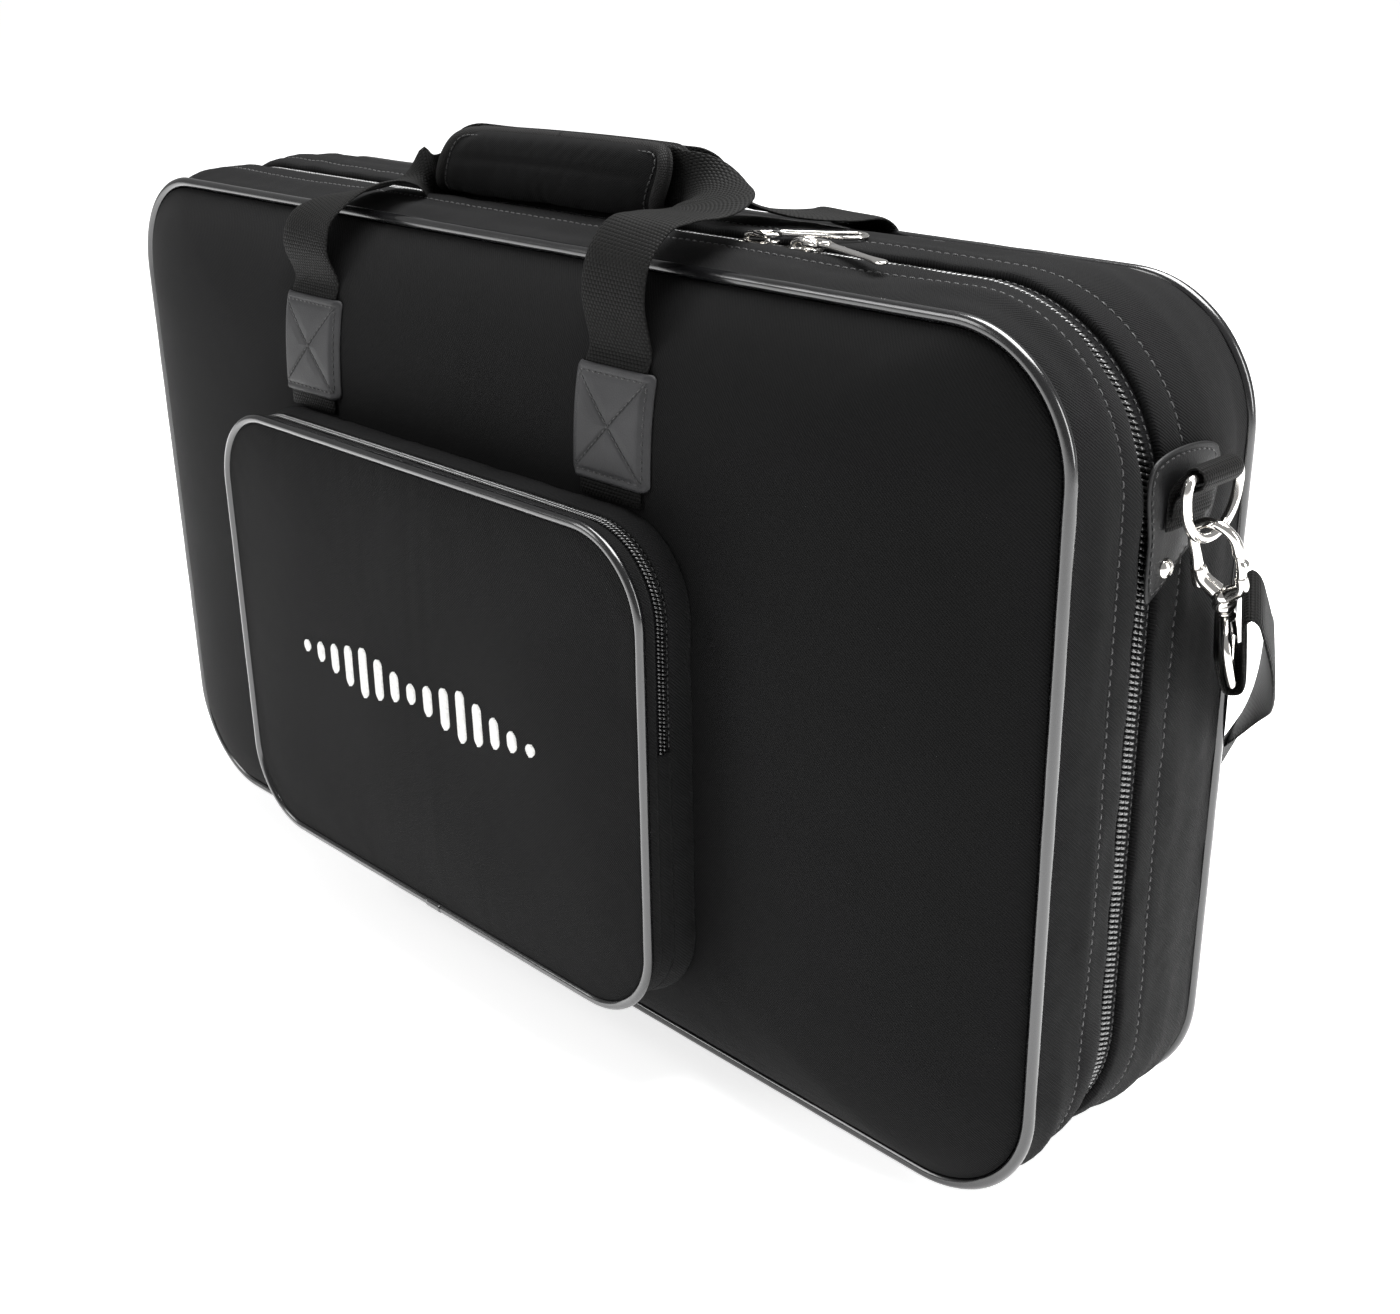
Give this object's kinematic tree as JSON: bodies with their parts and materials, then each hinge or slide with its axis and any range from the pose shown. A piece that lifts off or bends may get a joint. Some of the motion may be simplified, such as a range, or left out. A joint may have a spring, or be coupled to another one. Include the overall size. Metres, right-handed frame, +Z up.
{
  "type": "pedalboard carry case",
  "caption": "Padded zip-up soft case that carries a pedalboard, with a gusseted front pocket, webbing handles under a padded grip, side rings, snap hooks and a shoulder strap.",
  "frame": {"origin": "middle of the flat base that the case stands on", "axes": "+X across the width, -Y out of the front with the pocket, +Z up"},
  "size_m": [0.732, 0.2355, 0.415],
  "materials": {
    "cloth": "matte woven polyester",
    "lining": "matte brushed lining",
    "foam": "closed-cell foam",
    "piping": "glossy vinyl",
    "webbing": "woven polypropylene webbing",
    "leatherette": "embossed leatherette",
    "zipper": "nylon coil on woven tape",
    "nickel": "nickel plate"
  },
  "bodies": {
    "shell": {"rear_panel": "cloth", "rear_foam": "foam", "rear_lining": "lining", "rear_piping": "piping", "rear_gusset": "cloth", "bottom_gusset": "cloth", "main_zip_rear": "zipper", "rear_strap_left": "webbing", "rear_strap_right": "webbing", "rear_patch_left": "leatherette", "rear_patch_right": "leatherette", "side_tab_right": "leatherette", "ring_loop_right": "webbing", "tab_rivet_right": "nickel", "side_tab_left": "leatherette", "ring_loop_left": "webbing", "tab_rivet_left": "nickel", "shoulder_strap": "webbing"},
    "lid": {"front_panel": "cloth", "front_foam": "foam", "front_lining": "lining", "front_piping": "piping", "front_gusset": "cloth", "main_zip_front": "zipper", "pocket_gusset_rim": "cloth", "pocket_gusset": "cloth", "pocket_zip": "zipper", "pocket_piping": "piping", "pocket_front": "cloth", "front_strap_left": "webbing", "front_strap_right": "webbing", "front_patch_left": "leatherette", "front_patch_right": "leatherette"},
    "main_slider_left": {"main_slider_left": "nickel"},
    "main_slider_right": {"main_slider_right": "nickel"},
    "main_pull_left": {"main_pull_left": "nickel"},
    "main_pull_right": {"main_pull_right": "nickel"},
    "pocket_slider": {"pocket_slider": "nickel"},
    "pocket_pull": {"pocket_pull": "nickel"},
    "front_handle": {"front_handle": "webbing", "grip_wrap": "cloth"},
    "rear_handle": {"rear_handle": "webbing"},
    "ring_right": {"side_ring_right": "nickel", "swivel_eye_right": "nickel", "strap_end_right": "webbing"},
    "hook_right": {"snap_hook_right": "nickel"},
    "gate_right": {"hook_gate_right": "nickel"},
    "ring_left": {"side_ring_left": "nickel", "swivel_eye_left": "nickel", "strap_end_left": "webbing"},
    "hook_left": {"snap_hook_left": "nickel"},
    "gate_left": {"hook_gate_left": "nickel"},
    "adjuster": {"strap_adjuster": "nickel"}
  },
  "joints": [
    {"name": "lid_fold", "type": "hinge", "parent": "shell", "child": "lid", "pos_m": [0, -0.056, 0.004], "axis": [1, 0, 0], "range_deg": [0, 60]},
    {"name": "main_slider_left_run", "type": "slide", "parent": "lid", "child": "main_slider_left", "axis": [-1, 0, 0], "range_m": [0, 0.36]},
    {"name": "main_slider_right_run", "type": "slide", "parent": "lid", "child": "main_slider_right", "axis": [1, 0, 0], "range_m": [0, 0.08]},
    {"name": "main_pull_left_flip", "type": "hinge", "parent": "main_slider_left", "child": "main_pull_left", "pos_m": [0.13, -0.016, 0.3809], "axis": [0.454, -0.891, 0], "range_deg": [0, 90]},
    {"name": "main_pull_right_flip", "type": "hinge", "parent": "main_slider_right", "child": "main_pull_right", "pos_m": [0.157, -0.016, 0.3809], "axis": [-0.342, -0.9397, 0], "range_deg": [0, 90]},
    {"name": "pocket_slider_run", "type": "slide", "parent": "lid", "child": "pocket_slider", "axis": [0, 0, 1], "range_m": [0, 0.016]},
    {"name": "pocket_pull_flip", "type": "hinge", "parent": "pocket_slider", "child": "pocket_pull", "pos_m": [-0.1631, -0.1022, 0.217], "axis": [0, 1, 0], "range_deg": [0, 120]},
    {"name": "front_handle_swing", "type": "hinge", "parent": "lid", "child": "front_handle", "pos_m": [0, -0.0856, 0.341], "axis": [1, 0, 0], "range_deg": [0, 140]},
    {"name": "rear_handle_swing", "type": "hinge", "parent": "shell", "child": "rear_handle", "pos_m": [0, 0.068, 0.341], "axis": [-1, 0, 0], "range_deg": [0, 140]},
    {"name": "ring_right_swing", "type": "hinge", "parent": "shell", "child": "ring_right", "pos_m": [0.34135, -0.001, 0.3175], "axis": [0, -1, 0], "range_deg": [0, 5]},
    {"name": "hook_right_swivel", "type": "hinge", "parent": "ring_right", "child": "hook_right", "pos_m": [0.34455, 0.00724, 0.2712], "axis": [0, -0.3746, 0.9272], "range_deg": [-12, 12]},
    {"name": "gate_right_spring", "type": "hinge", "parent": "hook_right", "child": "gate_right", "pos_m": [0.35375, 0.00364, 0.2801], "axis": [0, -0.9272, -0.3746], "range_deg": [0, 22], "stiffness_Nm_per_rad": 0.002, "springref_deg": -17.19},
    {"name": "ring_left_swing", "type": "hinge", "parent": "shell", "child": "ring_left", "pos_m": [-0.34135, -0.001, 0.3175], "axis": [0, 1, 0], "range_deg": [0, 5]},
    {"name": "hook_left_swivel", "type": "hinge", "parent": "ring_left", "child": "hook_left", "pos_m": [-0.34455, 0.00724, 0.2712], "axis": [0, -0.3746, 0.9272], "range_deg": [-12, 12]},
    {"name": "gate_left_spring", "type": "hinge", "parent": "hook_left", "child": "gate_left", "pos_m": [-0.35375, 0.00364, 0.2801], "axis": [0, 0.9272, 0.3746], "range_deg": [0, 22], "stiffness_Nm_per_rad": 0.002, "springref_deg": -17.19},
    {"name": "adjuster_slide", "type": "slide", "parent": "shell", "child": "adjuster", "axis": [1, 0, 0], "range_m": [-0.06, 0.06]}
  ]
}
